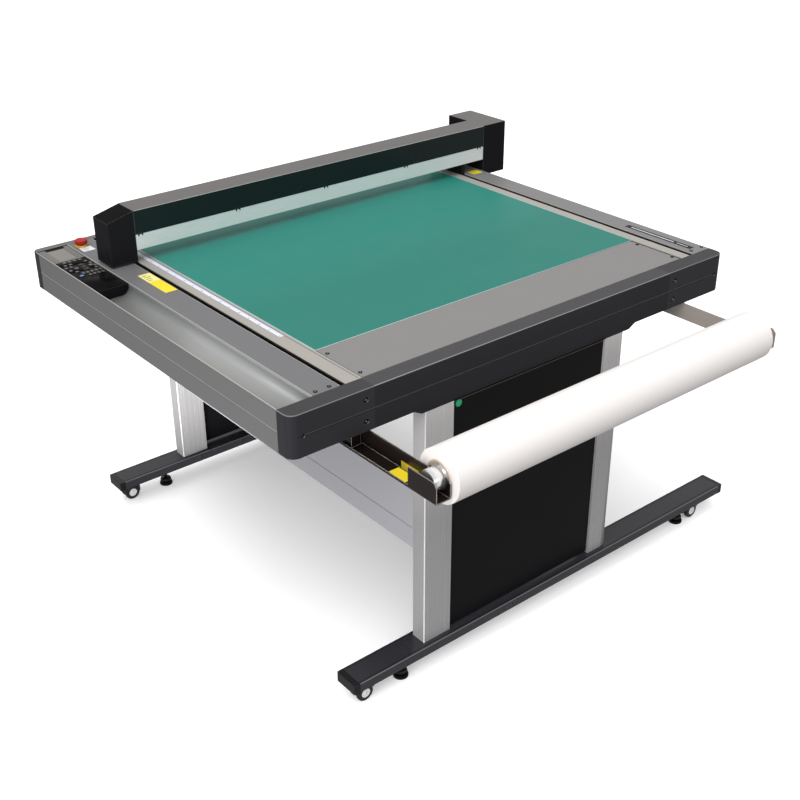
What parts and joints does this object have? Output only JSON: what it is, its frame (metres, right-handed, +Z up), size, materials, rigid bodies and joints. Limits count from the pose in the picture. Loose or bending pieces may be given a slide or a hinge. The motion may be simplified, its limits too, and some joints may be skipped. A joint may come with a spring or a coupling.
{
  "type": "flatbed cutting plotter",
  "caption": "Flatbed cutting plotter on a wheeled stand: a travelling gantry and tool carriage over a green mat, with a media roll held on two arms at the front.",
  "frame": {"origin": "centre of the overall box, on the floor under the levelling feet", "axes": "+X along the gantry towards its motor box, +Y from the media roll to the rear, +Z up"},
  "size_m": [1.798, 1.756, 1.167],
  "materials": {
    "side_grey": "satin grey paint",
    "rail_grey": "satin grey paint",
    "dark_rail": "satin charcoal paint",
    "cap_black": "moulded black plastic",
    "panel_black": "fine matt black",
    "bed_metal": "mill finish",
    "pan_grey": "matt grey paint",
    "beige_strip": "satin warm grey",
    "mat_green": "satin green mat",
    "plate_grey": "satin warm grey",
    "steel": "ground steel",
    "screw_steel": "black zinc plate",
    "lcd_glass": "green tinted window",
    "estop_yellow": "gloss yellow",
    "estop_red": "gloss red",
    "key_grey": "matt grey",
    "entry_black": "matt black",
    "bar_gloss": "gloss black green paint",
    "bar_top": "satin warm grey",
    "beam_alu": "anodised",
    "strip_silver": "brushed and anodised",
    "carriage_black": "moulded black plastic",
    "tool_steel": "turned and anodised",
    "belt_black": "matt rubber",
    "motor_black": "black lacquer",
    "foot_gloss": "gloss black paint",
    "foot_cap": "gloss black plastic",
    "post_alu": "anodised silver",
    "leg_panel": "satin black paint",
    "sub_rail": "satin grey paint",
    "beam_grey": "satin light grey",
    "fork_black": "matt black",
    "wheel_grey": "black tread on a grey hub",
    "arm_brown": "gloss dark brown paint",
    "media_white": "satin white film",
    "plug_silver": "satin turned"
  },
  "bodies": {
    "table_and_stand": {"side_covers": "side_grey", "rail_covers": "rail_grey", "end_rails": "dark_rail", "corner_caps": "cap_black", "table_screws": "screw_steel", "bed_plate": "bed_metal", "edge_strips": "beige_strip", "cutting_mat": "mat_green", "front_plate": "plate_grey", "bottom_pan": "pan_grey", "panel_housing": "panel_black", "lcd_window": "lcd_glass", "estop_base": "estop_yellow", "power_entry": "entry_black", "y_guides": "steel", "y_belts": "belt_black", "shaft_bearings": "steel", "y_motor": "motor_black", "foot_beams": "foot_gloss", "foot_end_caps": "foot_cap", "posts": "post_alu", "leg_panels": "leg_panel", "sub_rails": "sub_rail", "cross_beams": "beam_grey", "feeder_arms": "arm_brown"},
    "gantry": {"gantry_beam": "beam_alu", "gantry_front_cover": "bar_gloss", "gantry_top_cover": "bar_top", "wiper_strip": "strip_silver", "gantry_end_caps": "cap_black", "gantry_legs": "beam_alu", "guide_blocks": "steel", "x_guide": "steel", "x_belt": "belt_black"},
    "carriage": {"carriage_block": "carriage_black"},
    "tool_a": {"tool_holder_a": "tool_steel"},
    "tool_b": {"tool_holder_b": "tool_steel"},
    "x_motor_pulley": {"x_pulley_motor": "steel"},
    "x_idler_pulley": {"x_pulley_idler": "steel"},
    "drive_shaft": {"sync_shaft": "steel"},
    "front_shaft": {"idler_shaft": "steel"},
    "roll": {"media_roll": "media_white", "core_plugs": "plug_silver"},
    "estop": {"estop_button": "estop_red"},
    "up_key": {"key_up": "key_grey"},
    "down_key": {"key_down": "key_grey"},
    "enter_key": {"key_enter": "key_grey"},
    "rocker": {"power_rocker": "entry_black"},
    "leveller_front_left": {"leveller_front_left": "steel"},
    "castor_front_left": {"castor_fork_front_left": "fork_black"},
    "wheels_front_left": {"castor_wheels_front_left": "wheel_grey"},
    "leveller_front_right": {"leveller_front_right": "steel"},
    "castor_front_right": {"castor_fork_front_right": "fork_black"},
    "wheels_front_right": {"castor_wheels_front_right": "wheel_grey"},
    "leveller_rear_left": {"leveller_rear_left": "steel"},
    "castor_rear_left": {"castor_fork_rear_left": "fork_black"},
    "wheels_rear_left": {"castor_wheels_rear_left": "wheel_grey"},
    "leveller_rear_right": {"leveller_rear_right": "steel"},
    "castor_rear_right": {"castor_fork_rear_right": "fork_black"},
    "wheels_rear_right": {"castor_wheels_rear_right": "wheel_grey"}
  },
  "joints": [
    {"name": "gantry_travel", "type": "slide", "parent": "table_and_stand", "child": "gantry", "axis": [0, 1, 0], "range_m": [-0.96, 0]},
    {"name": "carriage_travel", "type": "slide", "parent": "gantry", "child": "carriage", "axis": [1, 0, 0], "range_m": [-1.29, 0]},
    {"name": "tool_a_drop", "type": "slide", "parent": "carriage", "child": "tool_a", "axis": [0, 0, -1], "range_m": [0, 0.007], "stiffness_N_per_m": 700, "springref_m": -0.004},
    {"name": "tool_b_drop", "type": "slide", "parent": "carriage", "child": "tool_b", "axis": [0, 0, -1], "range_m": [0, 0.007], "stiffness_N_per_m": 700, "springref_m": -0.004},
    {"name": "x_motor_pulley_spin", "type": "hinge", "parent": "gantry", "child": "x_motor_pulley", "pos_m": [-0.649, 0.653, 1.118], "axis": [0, 1, 0], "continuous": true},
    {"name": "x_idler_pulley_spin", "type": "hinge", "parent": "gantry", "child": "x_idler_pulley", "pos_m": [0.719, 0.653, 1.118], "axis": [0, 1, 0], "continuous": true},
    {"name": "drive_shaft_spin", "type": "hinge", "parent": "table_and_stand", "child": "drive_shaft", "pos_m": [-0.019, 0.801, 0.9], "axis": [1, 0, 0], "continuous": true},
    {"name": "front_shaft_spin", "type": "hinge", "parent": "table_and_stand", "child": "front_shaft", "pos_m": [-0.019, -0.463, 0.9], "axis": [1, 0, 0], "continuous": true},
    {"name": "roll_spin", "type": "hinge", "parent": "table_and_stand", "child": "roll", "pos_m": [-0.031, -0.805, 0.857], "axis": [1, 0, 0], "continuous": true},
    {"name": "estop_press", "type": "slide", "parent": "table_and_stand", "child": "estop", "axis": [0, 0, -1], "range_m": [0, 0.004], "stiffness_N_per_m": 800, "springref_m": -0.002},
    {"name": "up_key_press", "type": "slide", "parent": "table_and_stand", "child": "up_key", "axis": [0, 0, -1], "range_m": [0, 0.001], "stiffness_N_per_m": 400, "springref_m": -0.0005},
    {"name": "down_key_press", "type": "slide", "parent": "table_and_stand", "child": "down_key", "axis": [0, 0, -1], "range_m": [0, 0.001], "stiffness_N_per_m": 400, "springref_m": -0.0005},
    {"name": "enter_key_press", "type": "slide", "parent": "table_and_stand", "child": "enter_key", "axis": [0, 0, -1], "range_m": [0, 0.001], "stiffness_N_per_m": 400, "springref_m": -0.0005},
    {"name": "power_switch", "type": "hinge", "parent": "table_and_stand", "child": "rocker", "pos_m": [0.509, 0.859, 0.922], "axis": [1, 0, 0], "range_deg": [0, 18]},
    {"name": "leveller_front_left_turn", "type": "hinge", "parent": "table_and_stand", "child": "leveller_front_left", "pos_m": [-0.542, -0.5305, 0.05], "axis": [0, 0, 1], "continuous": true},
    {"name": "castor_front_left_swivel", "type": "hinge", "parent": "table_and_stand", "child": "castor_front_left", "pos_m": [-0.661, -0.5305, 0.05], "axis": [0, 0, 1], "continuous": true},
    {"name": "castor_front_left_roll", "type": "hinge", "parent": "castor_front_left", "child": "wheels_front_left", "pos_m": [-0.687, -0.5305, 0.028], "axis": [0, 1, 0], "continuous": true},
    {"name": "leveller_front_right_turn", "type": "hinge", "parent": "table_and_stand", "child": "leveller_front_right", "pos_m": [0.707, -0.5305, 0.05], "axis": [0, 0, 1], "continuous": true},
    {"name": "castor_front_right_swivel", "type": "hinge", "parent": "table_and_stand", "child": "castor_front_right", "pos_m": [0.793, -0.5305, 0.05], "axis": [0, 0, 1], "continuous": true},
    {"name": "castor_front_right_roll", "type": "hinge", "parent": "castor_front_right", "child": "wheels_front_right", "pos_m": [0.767, -0.5305, 0.028], "axis": [0, 1, 0], "continuous": true},
    {"name": "leveller_rear_left_turn", "type": "hinge", "parent": "table_and_stand", "child": "leveller_rear_left", "pos_m": [-0.542, 0.8355, 0.05], "axis": [0, 0, 1], "continuous": true},
    {"name": "castor_rear_left_swivel", "type": "hinge", "parent": "table_and_stand", "child": "castor_rear_left", "pos_m": [-0.661, 0.8355, 0.05], "axis": [0, 0, 1], "continuous": true},
    {"name": "castor_rear_left_roll", "type": "hinge", "parent": "castor_rear_left", "child": "wheels_rear_left", "pos_m": [-0.687, 0.8355, 0.028], "axis": [0, 1, 0], "continuous": true},
    {"name": "leveller_rear_right_turn", "type": "hinge", "parent": "table_and_stand", "child": "leveller_rear_right", "pos_m": [0.707, 0.8355, 0.05], "axis": [0, 0, 1], "continuous": true},
    {"name": "castor_rear_right_swivel", "type": "hinge", "parent": "table_and_stand", "child": "castor_rear_right", "pos_m": [0.793, 0.8355, 0.05], "axis": [0, 0, 1], "continuous": true},
    {"name": "castor_rear_right_roll", "type": "hinge", "parent": "castor_rear_right", "child": "wheels_rear_right", "pos_m": [0.767, 0.8355, 0.028], "axis": [0, 1, 0], "continuous": true}
  ],
  "couplings": [
    {"joint": "drive_shaft_spin", "follows": "gantry_travel", "rad_per_m": -62.5},
    {"joint": "front_shaft_spin", "follows": "gantry_travel", "rad_per_m": -62.5},
    {"joint": "x_motor_pulley_spin", "follows": "carriage_travel", "rad_per_m": 90.909},
    {"joint": "x_idler_pulley_spin", "follows": "carriage_travel", "rad_per_m": 90.909}
  ]
}
